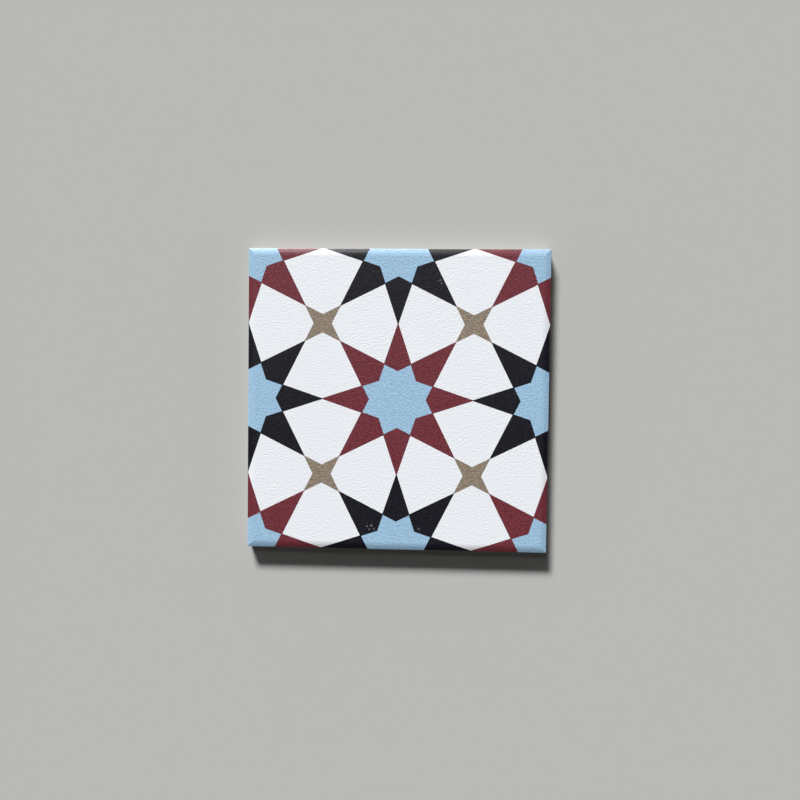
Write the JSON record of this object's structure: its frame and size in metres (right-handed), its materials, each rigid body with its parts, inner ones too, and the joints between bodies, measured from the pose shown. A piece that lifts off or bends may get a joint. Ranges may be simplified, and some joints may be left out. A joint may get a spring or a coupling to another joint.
{
  "type": "patterned porcelain tile",
  "caption": "Square glazed porcelain floor tile with a printed eight-pointed star pattern, a cushioned face edge and a keyed grid back for bedding in adhesive.",
  "frame": {"origin": "middle of the back, on the plane of its ribs and rim, where the tile rests", "axes": "+Z out of the glazed face, +X and +Y along the tile's edges"},
  "size_m": [0.2, 0.2, 0.009],
  "materials": {
    "porcelain": "matt glaze, printed"
  },
  "bodies": {
    "root": {"porcelain_tile": "porcelain"}
  },
  "joints": []
}
